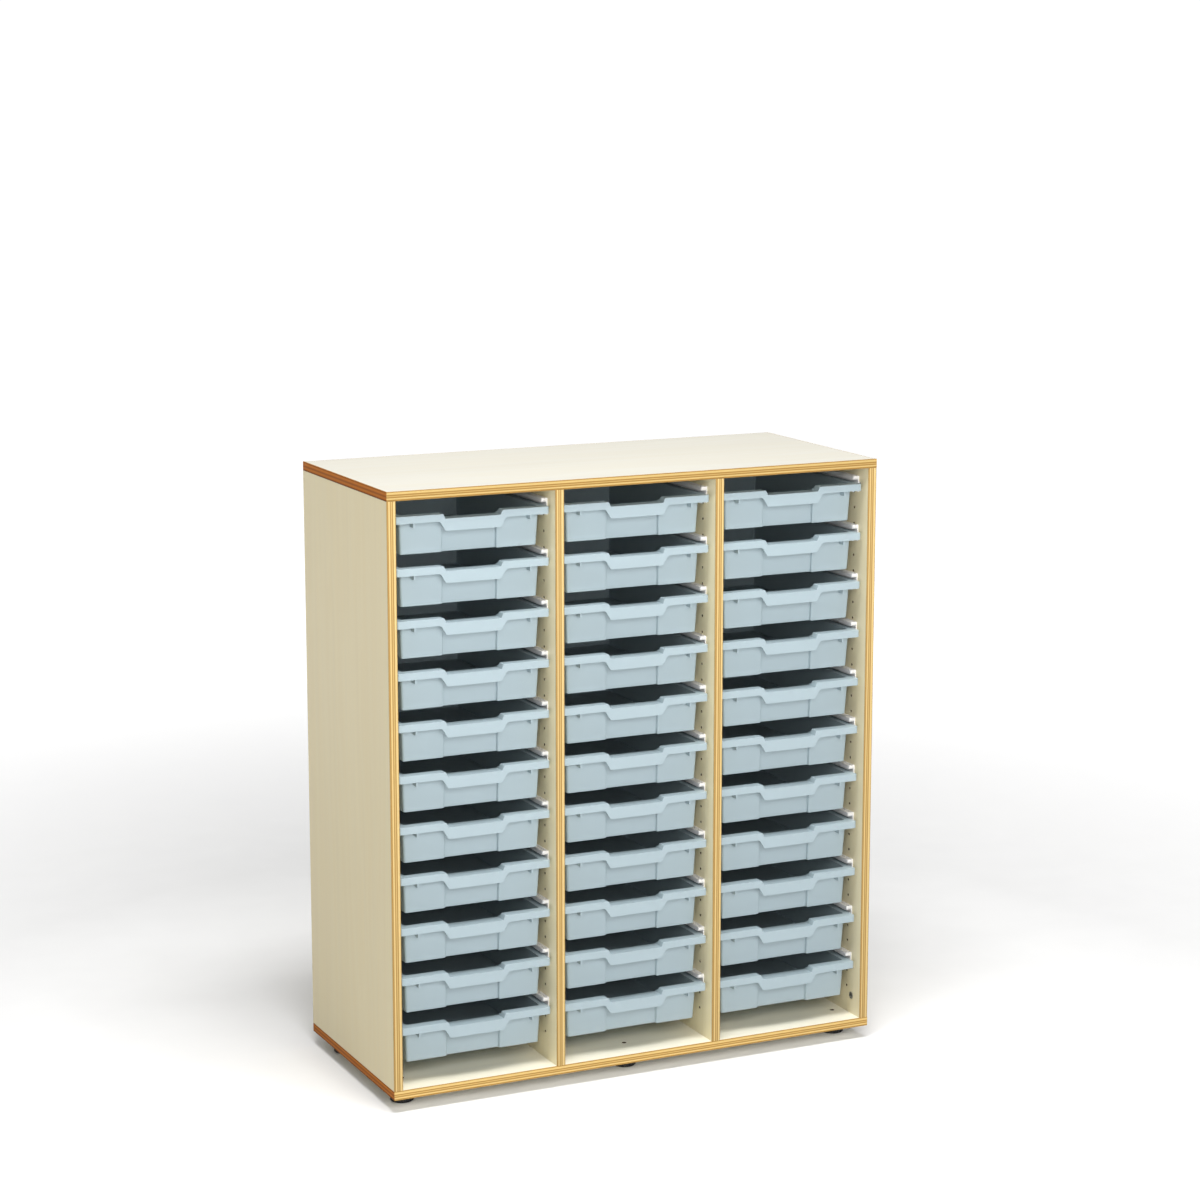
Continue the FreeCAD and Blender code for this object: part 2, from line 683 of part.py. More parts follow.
def socket_and_foot():
    body = new_body("foot_sockets", (FEET[0][0], FEET[0][1], FH))
    sk = sketch(body, "section", "XZ_Plane")
    bore = D["stud_rad"] + D["stud_fit"]
    fl = D["socket_flange_thick"]
    polygon(sk, [(bore, -fl), (D["socket_flange"], -fl), (D["socket_flange"], 0),
                 (D["socket_rad"], 0), (D["socket_rad"], D["socket_up"]), (bore, D["socket_up"])])
    f = body.newObject("PartDesign::Revolution", body.Name + "_turned")
    f.Profile = sk
    f.ReferenceAxis = (sk, ["V_Axis"])
    f.Angle = 360
    doc.recompute()
    row_of(body, "across", [], "X_Axis", W / 2 - D["foot_in"], 3, whole=True)
    row_of(body, "deep", [], "Y_Axis", D["foot_rear"] - D["foot_front"], 2, whole=True)

    names = ["front_left_foot", "front_centre_foot", "front_right_foot",
             "rear_left_foot", "rear_centre_foot", "rear_right_foot"]
    foot = new_body(names[0], (FEET[0][0], FEET[0][1], 0))
    sk = sketch(foot, "section", "XZ_Plane")
    r, top_z = D["foot_rad"], FH - fl - foot_gap
    polygon(sk, [(0, 0), (r - 1.5, 0), (r, 1.5), (r, D["foot_pad"] - 1.5), (r - 1.5, D["foot_pad"]),
                 (D["foot_collar"] + 1.5, D["foot_pad"] + 2), (D["foot_collar"], D["foot_pad"] + 3.5),
                 (D["foot_collar"], top_z - 1), (D["foot_collar"] - 1, top_z),
                 (D["stud_rad"], top_z), (D["stud_rad"], FH + D["stud_up"] - 1),
                 (D["stud_rad"] - 1, FH + D["stud_up"]), (0, FH + D["stud_up"])])
    f = foot.newObject("PartDesign::Revolution", foot.Name + "_turned")
    f.Profile = sk
    f.ReferenceAxis = (sk, ["V_Axis"])
    f.Angle = 360
    doc.recompute()
    # hexagon socket for the adjusting key, and grips round the disc
    sk = sketch(foot, "key", "XY_Plane", FH + D["stud_up"])
    polygon(sk, [(2.3, 0), (1.15, 1.992), (-1.15, 1.992), (-2.3, 0), (-1.15, -1.992), (1.15, -1.992)])
    pocket(foot, "key_cut", sk, 6)
    sk = sketch(foot, "grip", "XY_Plane")
    circle(sk, r + 1.2, 0, 2.4)
    f = pocket(foot, "grip_cut", sk, D["foot_pad"] + 1, back=True)
    p = foot.newObject("PartDesign::PolarPattern", foot.Name + "_grips")
    p.Originals = [f]
    p.Axis = (origin_part(foot, "Z_Axis"), [""])
    p.Angle = 360
    p.Occurrences = 16
    foot.Tip = p
    doc.recompute()
    for name, (x, y) in list(zip(names, FEET))[1:]:
        clone(name, foot, (x, y, 0))


socket_and_foot()

# ------------------------------------------------------------------- trays
# A thin-walled moulding. X from the middle of the tray, Y from the front
# flange, Z from the top of the rim, so the tray hangs below the XY plane.


def tray(label, at):
    body = new_body(label, at)
    tw, tl, th, wall = D["tray_width"], D["tray_length"], D["tray_height"], D["tray_wall"]
    fs, rs, bw = D["tray_setback"], D["tray_back_rim"], D["tray_body"] / 2
    rh, rdep, skirt = D["recess_half"], D["recess_depth"], D["rim_depth"]

    def walls(inset):
        return [(inset - bw, fs + inset), (-rh - inset, fs + inset),
                (-rh - inset, fs + rdep + inset), (rh + inset, fs + rdep + inset),
                (rh + inset, fs + inset), (bw - inset, fs + inset),
                (bw - inset, tl - rs - inset), (inset - bw, tl - rs - inset)]

    def drafted(low, inset):
        """Upright faces down to the given depth, without the recess's cheeks."""
        def test(face):
            u0, u1, v0, v1 = face.ParameterRange
            n = face.normalAt((u0 + u1) / 2, (v0 + v1) / 2)
            box = face.BoundBox
            cheek = abs(n.x) > 0.9 and near(abs(box.XMin), rh + inset, 0.5)
            return abs(n.z) < 1e-6 and near(box.ZMin, -low) and not cheek
        return test

    # outside of the body
    sk = sketch(body, "body", "XY_Plane")
    polygon(sk, walls(dim(0)))
    pad(body, "block", sk, th, back=True)
    draft_faces(body, "outer_draft", D["tray_draft"], drafted(th, dim(0)), back=True)
    upright_edge = lambda e: along(e, "z", 0.95) and e.BoundBox.ZLength > 40
    round_edges(body, "corners", D["tray_corner"],
                lambda e: upright_edge(e) and abs(e.CenterOfMass.x) > 100)
    round_edges(body, "recess_corners", 2.5,
                lambda e: upright_edge(e) and abs(e.CenterOfMass.x) < 70)
    round_edges(body, "underside", D["tray_foot_round"],
                lambda e: near(e.BoundBox.ZMax, -th) and e.BoundBox.ZLength < 0.01)

    # rim all round with its turned-down edge
    sk = sketch(body, "rim", "XY_Plane")
    rectangle(sk, -tw / 2, 0, tw / 2, tl)
    pad(body, "rim_plate", sk, wall, back=True)
    sk = sketch(body, "skirt", "XY_Plane")
    rectangle(sk, -tw / 2, 0, tw / 2, tl)
    rectangle(sk, -tw / 2 + wall, wall, tw / 2 - wall, tl - wall)
    pad(body, "skirt_walls", sk, skirt, back=True)

    # inside of the body, as a core that is taken away
    core = doc.addObject("PartDesign::Body", label + "_core")
    sk = sketch(core, "core", "XY_Plane")
    polygon(sk, walls(wall))
    pad(core, "block", sk, th - wall, back=True)
    draft_faces(core, "draft", D["tray_draft"], drafted(th - wall, wall), back=True)
    round_edges(core, "corners", D["tray_corner"] - wall,
                lambda e: upright_edge(e) and abs(e.CenterOfMass.x) > 100)
    round_edges(core, "recess_corners", 1.5,
                lambda e: upright_edge(e) and abs(e.CenterOfMass.x) < 70)
    round_edges(core, "floor_rounded", 1.2,
                lambda e: near(e.BoundBox.ZMax, wall - th) and e.BoundBox.ZLength < 0.01)
    cut = body.newObject("PartDesign::Boolean", body.Name + "_cavity")
    cut.Type = "Cut"
    cut.setObjects([core])
    doc.recompute()

    # the rim dips in the middle of the front
    dip, dh, dr = D["dip"], D["dip_half"], D["dip_run"]
    sk = sketch(body, "dip", "XZ_Plane", 1)
    polygon(sk, [(-dh - dr * 1.5, dip * 0.5), (-dh, -dip), (dh, -dip), (dh + dr * 1.5, dip * 0.5)])
    pocket(body, "dip_cut", sk, fs + rdep + wall + 3)
    sk = sketch(body, "dip_floor", "XZ_Plane")
    skew = wall * 0.6     # keeps the steep ends as thick as the wall
    polygon(sk, [(-dh - dr, 0), (-dh, -dip), (dh, -dip), (dh + dr, 0),
                 (dh + dr + skew, -wall), (dh + skew, -dip - wall),
                 (-dh - skew, -dip - wall), (-dh - dr - skew, -wall)])
    pad(body, "dip_floor_front", sk, fs + 1, back=True)
    sk = sketch(body, "dip_floor_2", "XZ_Plane")
    edge_x = rh + 1
    rectangle(sk, -edge_x, -dip - wall, edge_x, -dip)
    pad(body, "dip_floor_rear", sk, fs + rdep + 1, back=True)

    # front flange with the handle below the dip
    sk = sketch(body, "flange", "XZ_Plane")
    hl, hr = D["handle_low"], D["handle_run"]
    polygon(sk, [(-tw / 2, 0), (-dh - dr, 0), (-dh, -dip), (dh, -dip), (dh + dr, 0), (tw / 2, 0),
                 (tw / 2, -skirt), (dh + hr, -skirt), (dh, -hl), (-dh, -hl), (-dh - hr, -skirt),
                 (-tw / 2, -skirt)])
    pad(body, "flange_plate", sk, D["flange_thick"], back=True)

    # gussets under the flange
    sk = sketch(body, "gusset", "YZ_Plane", D["gusset_at"] - D["gusset_thick"] / 2)
    polygon(sk, [(wall, -wall / 2), (fs + 1.8, -wall / 2), (fs + 1.8, -D["gusset_low"]),
                 (wall, -D["gusset_low"])])
    f = pad(body, "gusset_rib", sk, D["gusset_thick"])
    mirror(body, "gussets", [f], "YZ_Plane")

    # softened corners
    round_edges(body, "rim_corners", D["rim_corner"],
                lambda e: along(e, "z") and near(abs(e.BoundBox.XMin), tw / 2)
                and (near(e.BoundBox.YMin, 0) or near(e.BoundBox.YMin, tl)))
    flange_edge = lambda e, x, z: (along(e, "y") and near(abs(e.CenterOfMass.x), x)
                                   and near(e.CenterOfMass.z, z) and e.CenterOfMass.y < 20)
    round_edges(body, "handle_top", 7,
                lambda e: flange_edge(e, dh + hr, -skirt))
    round_edges(body, "handle_bottom", 3,
                lambda e: flange_edge(e, dh, -hl))
    round_edges(body, "dip_top", 3,
                lambda e: along(e, "y") and near(abs(e.CenterOfMass.x), dh + dr)
                and near(e.CenterOfMass.z, 0) and e.BoundBox.YMin < 0.1)
    round_edges(body, "front_edge", 0.8,
                lambda e: near(e.BoundBox.YMax, 0, 0.01) and near(e.BoundBox.YMin, 0, 0.01)
                and along(e, "x") and near(e.BoundBox.ZMax, 0) and near(e.BoundBox.ZMin, 0))
    return body


TRAY_Y = FRONT + D["tray_front_gap"]
master = None
for bay, x in BAYS:
    for k in range(11):
        label = "tray_%s_%02d" % (bay, k + 1)
        at = (x, TRAY_Y, FH + D["top_rim"] - D["row_pitch"] * k)
        if master is None:
            master = tray(label, at)
        else:
            clone(label, master, at)

# ------------------------------------------------------------------ export

doc.recompute()
bad = [o.Name for o in doc.Objects if "Invalid" in o.State or "Error" in o.State]
if bad:
    raise RuntimeError("failed objects: " + ", ".join(bad))
os.makedirs("parts", exist_ok=True)
for old in os.listdir("parts"):
    if old.endswith(".step"):
        os.remove(os.path.join("parts", old))
for body in PARTS:
    shape = body.Shape
    if shape.isNull() or not shape.isValid():
        raise RuntimeError("bad shape: " + body.Label)
for body in PARTS:
    shape = body.Shape
    shape.exportStep(os.path.join("parts", body.Label + ".step"))
    box = shape.BoundBox
    print("%-22s %3d solids %9.1f cm3  x %7.1f %7.1f  y %7.1f %7.1f  z %7.1f %7.1f" % (
        body.Label, len(shape.Solids), shape.Volume / 1000,
        box.XMin, box.XMax, box.YMin, box.YMax, box.ZMin, box.ZMax))
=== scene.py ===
import math

import bpy
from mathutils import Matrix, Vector


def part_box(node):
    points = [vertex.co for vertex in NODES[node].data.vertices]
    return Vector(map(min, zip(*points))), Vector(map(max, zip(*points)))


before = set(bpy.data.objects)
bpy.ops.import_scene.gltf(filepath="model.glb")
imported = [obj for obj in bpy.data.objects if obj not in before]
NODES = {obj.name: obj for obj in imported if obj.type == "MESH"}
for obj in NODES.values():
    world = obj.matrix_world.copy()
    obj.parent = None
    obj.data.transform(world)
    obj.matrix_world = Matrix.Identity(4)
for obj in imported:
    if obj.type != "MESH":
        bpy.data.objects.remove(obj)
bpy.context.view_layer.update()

# ------------------------------------------------------------------ helpers


class Mat:
    """A small builder for one node material with object coordinates in metres."""

    def __init__(self, name, roughness=0.5, metallic=0.0, specular=0.5):
        self.m = bpy.data.materials.new(name)
        self.m.use_nodes = True
        self.t = self.m.node_tree
        self.t.nodes.clear()
        self.out = self.t.nodes.new("ShaderNodeOutputMaterial")
        self.bsdf = self.t.nodes.new("ShaderNodeBsdfPrincipled")
        self.t.links.new(self.bsdf.outputs[0], self.out.inputs[0])
        self.bsdf.inputs["Roughness"].default_value = roughness
        self.bsdf.inputs["Metallic"].default_value = metallic
        self.bsdf.inputs["Specular IOR Level"].default_value = specular
        coords = self.t.nodes.new("ShaderNodeTexCoord")
        self.coord = coords.outputs["Object"]
        self.facing = coords.outputs["Normal"]

    def node(self, kind, **values):
        n = self.t.nodes.new(kind)
        for key, value in values.items():
            if key in n.inputs:
                self.put(n.inputs[key], value)
            else:
                setattr(n, key, value)
        return n

    def put(self, socket, value):
        if isinstance(value, bpy.types.NodeSocket):
            self.t.links.new(value, socket)
        elif value is not None:
            socket.default_value = value

    def scaled(self, x, y, z, offset=(0, 0, 0), turn=(0, 0, 0)):
        n = self.node("ShaderNodeMapping")
        self.put(n.inputs["Vector"], self.coord)
        n.inputs["Scale"].default_value = (x, y, z)
        n.inputs["Location"].default_value = offset
        n.inputs["Rotation"].default_value = turn
        return n.outputs[0]

    def noise(self, vector, scale=1.0, detail=3.0, rough=0.5, distortion=0.0):
        n = self.node("ShaderNodeTexNoise")
        self.put(n.inputs["Vector"], vector)
        n.inputs["Scale"].default_value = scale
        n.inputs["Detail"].default_value = detail
        n.inputs["Roughness"].default_value = rough
        n.inputs["Distortion"].default_value = distortion
        return n.outputs["Fac"]

    def math(self, op, a, b=None, c=None, clamp=False):
        n = self.node("ShaderNodeMath", operation=op, use_clamp=clamp)
        for i, v in enumerate((a, b, c)):
            if v is not None:
                self.put(n.inputs[i], v)
        return n.outputs[0]

    def ramp(self, fac, stops, interpolation="LINEAR"):
        n = self.node("ShaderNodeValToRGB")
        self.put(n.inputs[0], fac)
        e = n.color_ramp.elements
        n.color_ramp.interpolation = interpolation
        while len(e) > 1:
            e.remove(e[-1])
        for i, (at, colour) in enumerate(stops):
            s = e[0] if i == 0 else e.new(at)
            s.position = at
            s.color = (*colour, 1.0) if len(colour) == 3 else colour
        return n.outputs[0]

    def mix(self, fac, a, b, blend="MIX"):
        n = self.node("ShaderNodeMix", data_type="RGBA", blend_type=blend)
        self.put(n.inputs[0], fac)
        for socket, v in ((n.inputs[6], a), (n.inputs[7], b)):
            if isinstance(v, tuple):
                v = (*v, 1.0) if len(v) == 3 else v
            self.put(socket, v)
        return n.outputs[2]

    def map(self, value, a, b, lo, hi):
        n = self.node("ShaderNodeMapRange")
        self.put(n.inputs["Value"], value)
        for key, v in (("From Min", a), ("From Max", b), ("To Min", lo), ("To Max", hi)):
            n.inputs[key].default_value = v
        return n.outputs[0]

    def axis(self, letter, vector=None):
        n = self.node("ShaderNodeSeparateXYZ")
        self.put(n.inputs[0], vector or self.coord)
        return n.outputs["XYZ".index(letter)]

    def grey(self, value):
        n = self.node("ShaderNodeCombineXYZ")
        for i in range(3):
            self.put(n.inputs[i], value)
        return n.outputs[0]

    def bump(self, height, strength, distance):
        n = self.node("ShaderNodeBump")
        n.inputs["Strength"].default_value = strength
        n.inputs["Distance"].default_value = distance
        self.put(n.inputs["Height"], height)
        self.put(self.bsdf.inputs["Normal"], n.outputs[0])

    def colour(self, value):
        self.put(self.bsdf.inputs["Base Color"], value)

    def rough(self, value):
        self.put(self.bsdf.inputs["Roughness"], value)


def lin(r, g, b):
    """An sRGB colour given as 0 to 255, in linear light."""
    out = []
    for v in (r, g, b):
        v = v / 255.0
        out.append(v / 12.92 if v <= 0.04045 else ((v + 0.055) / 1.055) ** 2.4)
    return tuple(out)


def shade(c, k):
    return tuple(v * k for v in c)


# ---------------------------------------------------------------- materials

MAPLE_LIT_AND_SHADED = {  # pale maple, a little different from board to board, and set lighter or darker for how light falls: painted shade on the left side panel and the top, painted light on the base and the two dividers
    "top_panel": lin(213, 210, 198), "base_panel": lin(249, 244, 225),
    "left_side_panel": lin(214, 200, 156), "right_side_panel": lin(229, 218, 184),
    "left_divider": lin(250, 238, 200), "right_divider": lin(244, 233, 196)}


def board_material(name, maple, face_axis, along, seed, lo, hi):
    """A faced board: pale maple melamine, with long faint grain along one axis, on the
    two large faces between lo and hi, and chipboard on every cut edge and bore."""
    m = Mat(name, specular=0.5)
    m.bsdf.inputs["Coat Weight"].default_value = 0.35
    m.bsdf.inputs["Coat Roughness"].default_value = 0.36
    fine = [95.0, 95.0, 95.0]
    fine[along] = 2.0
    broad = [8.0, 8.0, 8.0]
    broad[along] = 0.6
    streaks = m.noise(m.scaled(*fine, offset=(seed, seed * 2.0, seed * 3.0)), detail=5.0, rough=0.62, distortion=0.2)
    clouds = m.noise(m.scaled(*broad, offset=(seed * 5.0, seed, 0.0)), detail=3.0, rough=0.5, distortion=0.7)
    bands = m.map(m.math("SINE", m.math("MULTIPLY", clouds, 46.0)), -1.0, 1.0, 0.0, 1.0)
    pale = m.ramp(streaks, [(0.30, shade(maple, 0.972)), (0.5, maple), (0.72, shade(maple, 1.018))])
    warm = m.mix(m.math("MULTIPLY", bands, 0.30), pale, m.mix(1.0, pale, lin(252, 247, 236), "MULTIPLY"))
    patch = m.map(clouds, 0.35, 0.7, 0.0, 1.0)
    face = m.mix(m.math("MULTIPLY", patch, 0.30), warm, m.mix(1.0, warm, lin(251, 250, 246), "MULTIPLY"))

    chips = m.node("ShaderNodeTexVoronoi", feature="F1")
    m.put(chips.inputs["Vector"], m.scaled(1, 1, 1))
    chips.inputs["Scale"].default_value = 520.0
    tone = m.noise(chips.outputs["Position"], scale=900.0, detail=1.0)
    core = m.ramp(tone, [(0.30, lin(126, 98, 66)), (0.5, lin(178, 148, 108)), (0.7, lin(214, 190, 150))])
    # painted shade: the chipboard in the bores, and on every cut face short of the sawn rear edge, is multiplied
    # darker
    sawn = m.math("GREATER_THAN", m.axis("Y"), 0.212)
    core = m.mix(sawn, m.mix(1.0, core, lin(118, 106, 92), "MULTIPLY"), core)

    letter = "XYZ"[face_axis]
    at = m.axis(letter)
    half = (hi - lo) / 2.0
    out = m.math("ABSOLUTE", m.math("SUBTRACT", at, (lo + hi) / 2.0))
    skin = m.math("GREATER_THAN", out, half - 0.0002)
    flat = m.math("GREATER_THAN", m.math("ABSOLUTE", m.axis(letter, m.facing)), 0.8)
    faced = m.math("MULTIPLY", skin, flat)
    m.colour(m.mix(faced, core, face))
    m.rough(m.math("ADD", m.math("MULTIPLY", faced, m.map(streaks, 0.3, 0.7, -0.50, -0.42)), 0.86))
    fine_bump = m.math("ADD", streaks, m.noise(m.scaled(420, 420, 420), detail=2.0))
    rough_bump = m.math("MULTIPLY", chips.outputs["Distance"], 5.0)
    lift = m.node("ShaderNodeMix", data_type="FLOAT")
    m.put(lift.inputs[0], faced)
    m.put(lift.inputs[2], rough_bump)
    m.put(lift.inputs[3], fine_bump)
    m.bump(lift.outputs[0], 0.08, 0.0002)
    return m.m


# The ply look: where each layer lies, from one face of the 18 mm edge to the other, and
# how light it is, from 0 for the dark glue-side layers to 1 for the light ones.
PLY = [
    (0.000, 0.30), (0.030, 0.40), (0.070, 0.00), (0.160, 0.00), (0.205, 0.97), (0.260, 1.08), (0.325, 0.95),
    (0.370, 0.00), (0.450, 0.00), (0.490, 0.74), (0.545, 0.82), (0.585, 0.00), (0.670, 0.00), (0.715, 0.95),
    (0.790, 1.08), (0.890, 0.96), (0.935, 0.12), (1.000, 0.05)]
PLY_DARK, PLY_LIGHT = (191, 147, 85), (247, 212, 148)
# the same on the strips that close the ends of the top and base: a more orange edging, darkened further as painted
# shade on these side-facing faces
CARAMEL = [
    (0.000, 0.45), (0.050, 0.00), (0.110, 0.00), (0.170, 0.55), (0.300, 0.90), (0.400, 0.75), (0.470, 0.30),
    (0.560, 0.30), (0.620, 0.75), (0.740, 1.00), (0.830, 0.80), (0.875, 0.30), (0.950, 0.45), (1.000, 0.80)]
CARAMEL_DARK, CARAMEL_LIGHT = (116, 66, 22), (180, 114, 56)
ENDS_TINT_AND_SHADE = (1.12, 0.96, 0.34)


def layered(layers, dark, light, k):
    """Colour stops across a strip; k scales the three channels in linear light."""
    stops = []
    for at, t in layers:
        c = lin(*(d + (l - d) * t for d, l in zip(dark, light)))
        stops.append((at, tuple(v * f for v, f in zip(c, k))))
    return stops


def edging_material(name, front, across, first, period):
    """Ply-look edging: straight layers run along the strip."""
    m = Mat(name, specular=0.025)
    at = m.math("SUBTRACT", m.axis(across), first)
    if period:
        which = m.math("FLOOR", m.math("DIVIDE", at, period))
        at = m.math("FLOORED_MODULO", at, period)
    at = m.math("DIVIDE", at, 0.018)
    if period:
        # each upright's strip was cut from another stretch of the roll, so its layers differ
        push = m.math("MULTIPLY", m.math("SINE", m.math("MULTIPLY", which, 2.4)), 0.22)
        bend = m.math("MULTIPLY", at, m.math("SUBTRACT", 1.0, at))
        at = m.math("ADD", at, m.math("MULTIPLY", bend, push))
    low = [1.6, 1.6, 1.6]
    low["XYZ".index(across)] = 0.0
    wander = m.noise(m.scaled(*low), detail=1.0)
    at = m.math("ADD", at, m.map(wander, 0.3, 0.7, -0.010, 0.010))
    layers = m.ramp(at, layered(PLY, PLY_DARK, PLY_LIGHT, front))
    if across == "Z":
        caramel = m.ramp(at, layered(CARAMEL, CARAMEL_DARK, CARAMEL_LIGHT, ENDS_TINT_AND_SHADE))
        # faces turned to the sides take the darker, more orange layers: partly their own tone, partly painted shade
        ends = m.map(m.math("ABSOLUTE", m.axis("X", m.facing)), 0.60, 0.80, 0.0, 1.0)
        layers = m.mix(ends, layers, caramel)
    fibre = [9.0, 9.0, 9.0]
    fibre["XYZ".index(across)] = 1500.0
    grain = m.noise(m.scaled(*fibre), detail=2.0, rough=0.5)
    m.colour(m.mix(1.0, layers, m.grey(m.map(grain, 0.32, 0.68, 0.96, 1.03)), "MULTIPLY"))
    m.rough(m.map(grain, 0.3, 0.7, 0.36, 0.44))
    m.bump(grain, 0.08, 0.0002)
    return m.m


def tray_material():
    """Satin polypropylene with the fine texture of a spark-eroded mould."""
    m = Mat("tray_plastic", specular=0.5)
    base = lin(157, 173, 179)
    soft = m.noise(m.scaled(3.1, 3.1, 3.1), detail=2.0)
    flow = m.noise(m.scaled(26, 26, 9), detail=3.0, distortion=0.6)
    m.colour(m.mix(m.map(flow, 0.3, 0.7, 0.0, 0.5),
                   m.ramp(soft, [(0.3, shade(base, 0.98)), (0.7, shade(base, 1.015))]),
                   shade(base, 1.03)))
    grit = m.noise(m.scaled(1500, 1500, 1500), detail=2.0)
    m.rough(m.map(m.noise(m.scaled(60, 60, 60), detail=3.0), 0.3, 0.7, 0.36, 0.45))
    m.bump(grit, 0.10, 0.0001)
    return m.m


def runner_material():
    m = Mat("runner_plastic", specular=0.5)
    base = lin(240, 238, 237)
    wear = m.noise(m.scaled(40, 5, 40), detail=4.0, rough=0.6)
    m.colour(m.ramp(wear, [(0.3, shade(base, 0.96)), (0.6, base)]))
    m.rough(m.map(wear, 0.3, 0.7, 0.34, 0.48))
    m.bump(m.noise(m.scaled(1300, 1300, 1300), detail=2.0), 0.08, 0.0001)
    return m.m


def foot_material():
    m = Mat("foot_plastic", specular=0.45)
    scuffs = m.noise(m.scaled(160, 160, 60), detail=5.0, rough=0.65)
    m.colour(m.ramp(scuffs, [(0.35, (0.010, 0.010, 0.011)), (0.7, (0.028, 0.028, 0.030))]))
    m.rough(m.map(scuffs, 0.3, 0.7, 0.38, 0.6))
    m.bump(m.noise(m.scaled(900, 900, 900), detail=2.0), 0.15, 0.0002)
    return m.m


def zinc_material():
    m = Mat("zinc", metallic=1.0)
    spangle = m.noise(m.scaled(700, 700, 700), detail=3.0)
    m.colour(m.ramp(spangle, [(0.3, (0.42, 0.43, 0.44)), (0.7, (0.62, 0.62, 0.61))]))
    m.rough(m.map(spangle, 0.3, 0.7, 0.28, 0.48))
    m.bump(spangle, 0.08, 0.0001)
    return m.m


def beech_material():
    m = Mat("beech", roughness=0.6)
    grain = m.noise(m.scaled(600, 600, 50), detail=4.0, rough=0.6)
    m.colour(m.ramp(grain, [(0.3, lin(186, 142, 96)), (0.7, lin(218, 180, 134))]))
    m.bump(grain, 0.2, 0.0002)
    return m.m


def back_material():
    """Thin faced sheet, a little cooler than the boards, grain upright."""
    m = Mat("back_sheet", specular=0.4)
    streaks = m.noise(m.scaled(80, 80, 2.0, offset=(4, 4, 4)), detail=5.0, rough=0.6, distortion=0.3)
    clouds = m.noise(m.scaled(7.0, 7.0, 0.6, offset=(1, 2, 3)), detail=3.0, distortion=0.7)
    base = lin(236, 227, 197)
    grain = m.ramp(streaks, [(0.3, shade(base, 0.965)), (0.55, base), (0.75, shade(base, 1.02))])
    m.colour(m.mix(m.map(clouds, 0.35, 0.7, 0.0, 0.30), grain, m.mix(1.0, grain, lin(250, 247, 240), "MULTIPLY")))
    m.rough(m.map(streaks, 0.3, 0.7, 0.42, 0.55))
    m.bump(m.noise(m.scaled(380, 380, 380), detail=2.0), 0.10, 0.0002)
    return m.m


def give(node, material):
    obj = NODES[node]
    if not obj.material_slots:
        obj.data.materials.append(material)
    for slot in obj.material_slots:
        slot.material = material


def faced(node, face_axis, along, seed):
    lo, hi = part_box(node)
    give(node, board_material("maple_" + node, MAPLE_LIT_AND_SHADED[node], face_axis, along, seed, lo[face_axis], hi[face_axis]))


for i, node in enumerate(("top_panel", "base_panel")):
    faced(node, 2, 0, 1.3 + 2.1 * i)
for i, node in enumerate(("left_side_panel", "left_divider", "right_divider", "right_side_panel")):
    faced(node, 0, 2, 7.7 + 1.9 * i)
give("back_panel", back_material())

top_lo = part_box("top_edge_strips")[0]
base_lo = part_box("base_edge_strips")[0]
up_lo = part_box("upright_edge_strips")[0]
give("top_edge_strips", edging_material("edging_top", (0.57, 0.565, 0.485), "Z", top_lo.z, 0))
give("base_edge_strips", edging_material("edging_base", (0.75, 0.745, 0.64), "Z", base_lo.z, 0))
give("upright_edge_strips", edging_material("edging_uprights", (0.665, 0.695, 0.68), "X", up_lo.x, 0.339))

trays = tray_material()
runners = runner_material()
zinc = zinc_material()
for node in NODES:
    if node.startswith("tray_"):
        give(node, trays)
    elif node.endswith("_runners"):
        give(node, runners)
feet = foot_material()
for node in NODES:
    if node.endswith("_foot"):
        give(node, feet)
for node in ("runner_screws", "back_panel_screws", "cam_locks", "cam_bolts", "foot_sockets"):
    give(node, zinc)
give("wooden_dowels", beech_material())

# ------------------------------------------------------------- floor, light


def floor():
    m = Mat("studio_floor", roughness=0.9, specular=0.1)
    haze = m.noise(m.scaled(9.0, 9.0, 9.0), detail=3.0)
    m.colour(m.ramp(haze, [(0.3, (0.865, 0.865, 0.865)), (0.7, (0.88, 0.88, 0.88))]))
    m.bump(m.noise(m.scaled(60, 60, 60), detail=3.0), 0.05, 0.0005)
    # painted light: well away from the object the sheet glows by emission, in place of the light a lit studio sweep
    # gets
    reach = m.node("ShaderNodeVectorMath", operation="LENGTH")
    m.put(reach.inputs[0], m.coord)
    glow = m.map(reach.outputs["Value"], 1.5, 4.2, 0.0, 0.76)
    m.bsdf.inputs["Emission Color"].default_value = (1.0, 1.0, 1.0, 1.0)
    m.put(m.bsdf.inputs["Emission Strength"], glow)
    mesh = bpy.data.meshes.new("studio_floor")
    r = 40.0
    mesh.from_pydata([(-r, -r, -1e-4), (r, -r, -1e-4), (r, r, -1e-4), (-r, r, -1e-4)], [], [(0, 1, 2, 3)])
    obj = bpy.data.objects.new("studio_floor", mesh)
    bpy.context.scene.collection.objects.link(obj)
    mesh.materials.append(m.m)


floor()

# The backdrop shows plain white. As a light it is soft and a little uneven, as a studio
# is: SKY holds how bright it is all over, and how much more towards each side.
SKY = {"all": 0.02, "back": 0.50, "front": 0.0, "left": 0.0, "right": 0.10, "up": 0.0}


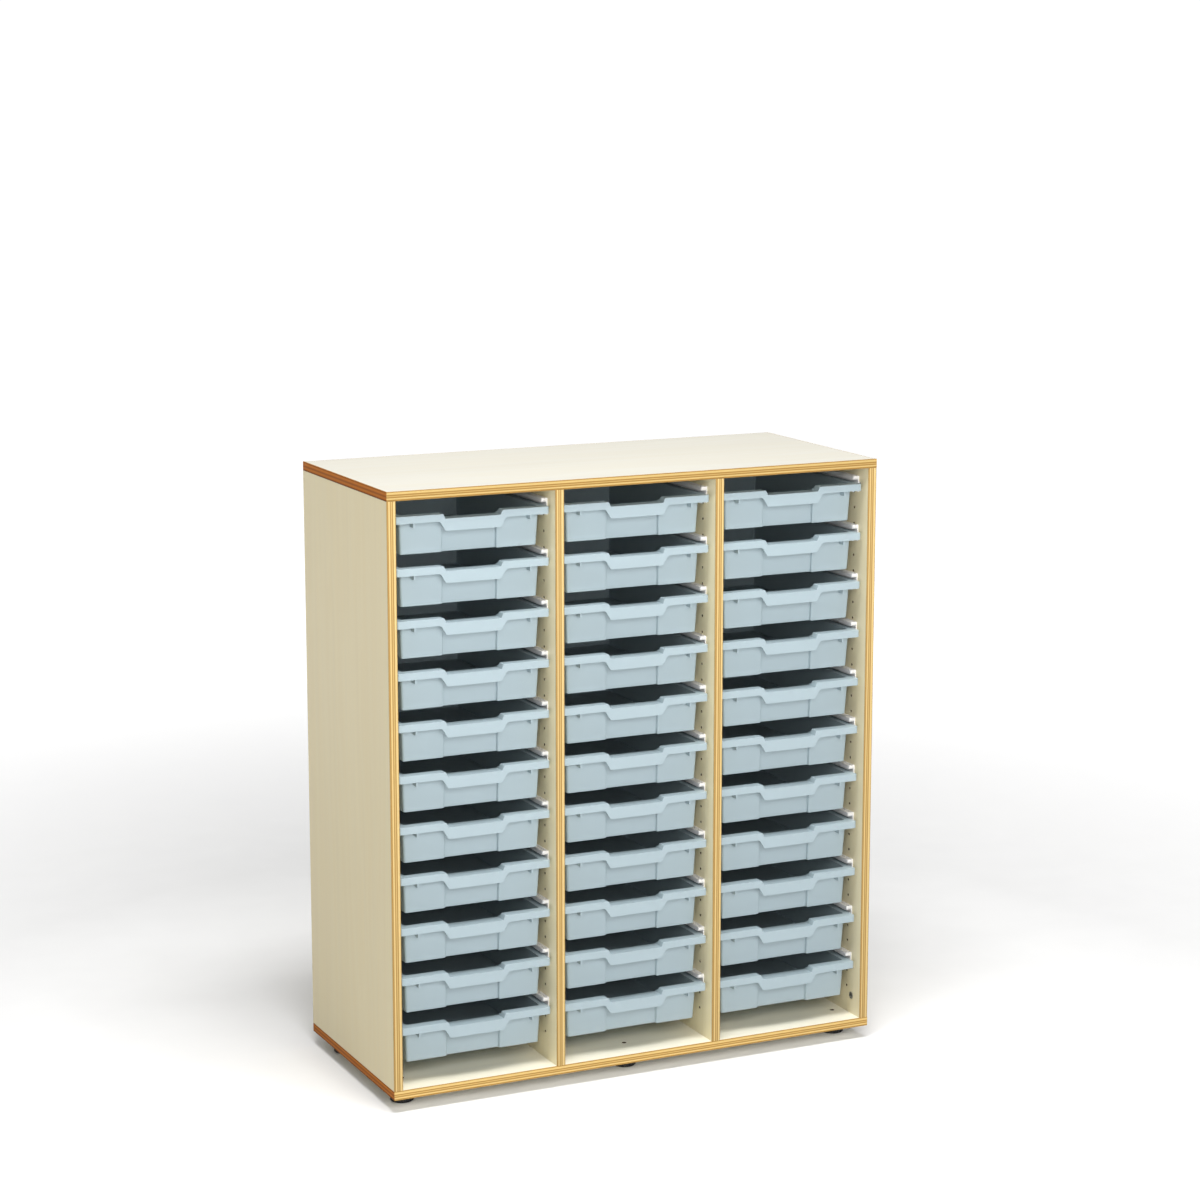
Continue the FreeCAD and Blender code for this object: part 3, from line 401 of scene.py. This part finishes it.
def studio():
    world = bpy.data.worlds.new("studio")
    bpy.context.scene.world = world
    world.use_nodes = True
    t = world.node_tree
    t.nodes.clear()
    split = t.nodes.new("ShaderNodeSeparateXYZ")
    t.links.new(t.nodes.new("ShaderNodeTexCoord").outputs["Generated"], split.inputs[0])
    total = None
    for side, axis, sign in (("back", 1, 1), ("front", 1, -1), ("left", 0, -1), ("right", 0, 1), ("up", 2, 1)):
        n = t.nodes.new("ShaderNodeMath")
        n.operation, n.use_clamp = "MULTIPLY", True
        t.links.new(split.outputs[axis], n.inputs[0])
        n.inputs[1].default_value = sign
        add = t.nodes.new("ShaderNodeMath")
        add.operation = "MULTIPLY_ADD"
        t.links.new(n.outputs[0], add.inputs[0])
        add.inputs[1].default_value = SKY[side]
        if total is None:
            add.inputs[2].default_value = SKY["all"]
        else:
            t.links.new(total, add.inputs[2])
        total = add.outputs[0]
    dome = t.nodes.new("ShaderNodeBackground")
    dome.inputs[0].default_value = (1.0, 1.0, 1.0, 1.0)
    t.links.new(total, dome.inputs[1])
    paper = t.nodes.new("ShaderNodeBackground")
    paper.inputs[0].default_value = (1.0, 1.0, 1.0, 1.0)
    paper.inputs[1].default_value = 1.05
    pick = t.nodes.new("ShaderNodeMixShader")
    t.links.new(t.nodes.new("ShaderNodeLightPath").outputs["Is Camera Ray"], pick.inputs[0])
    t.links.new(dome.outputs[0], pick.inputs[1])
    t.links.new(paper.outputs[0], pick.inputs[2])
    t.links.new(pick.outputs[0], t.nodes.new("ShaderNodeOutputWorld").inputs[0])


studio()


def area(name, at, aim, size, watts, colour=(1, 1, 1)):
    light = bpy.data.lights.new(name, "AREA")
    light.shape = "RECTANGLE"
    light.size, light.size_y = size
    light.energy = watts
    light.color = colour
    obj = bpy.data.objects.new(name, light)
    bpy.context.scene.collection.objects.link(obj)
    obj.location = at
    obj.rotation_euler = (Vector(aim) - Vector(at)).to_track_quat("-Z", "Y").to_euler()
    obj.visible_camera = False
    return obj


def overhead(strength, degrees):
    light = bpy.data.lights.new("overhead", "SUN")
    light.energy = strength
    light.angle = math.radians(degrees)
    obj = bpy.data.objects.new("overhead", light)
    bpy.context.scene.collection.objects.link(obj)
    obj.location = (0.0, 0.0, 4.0)
    return obj


overhead(0.45, 7.0)
area("front", (-1.0, -4.3, 2.4), (0.0, 0.0, 0.50), (3.2, 2.2), 155)
area("key", (-0.35, -1.35, 4.8), (0.0, 0.0, 0.50), (2.6, 1.2), 200)

bpy.context.scene.view_settings.view_transform = "Standard"
bpy.context.scene.view_settings.look = "None"
bpy.context.scene.view_settings.exposure = 0.0
bpy.context.scene.view_settings.gamma = 1.0

# -------------------------------------------------------------------- camera

cam = bpy.data.cameras.new("camera")
cam_obj = bpy.data.objects.new("camera", cam)
bpy.context.scene.collection.objects.link(cam_obj)
bpy.context.scene.camera = cam_obj
cam.sensor_width = 36.0
cam.lens = 89.055
cam.clip_start, cam.clip_end = 0.1, 200.0
cam_obj.location = (-2.4558, -5.2371, 2.0040)
cam_obj.rotation_euler = (math.radians(90.0 - 10.672), 0.0, math.radians(-25.303))
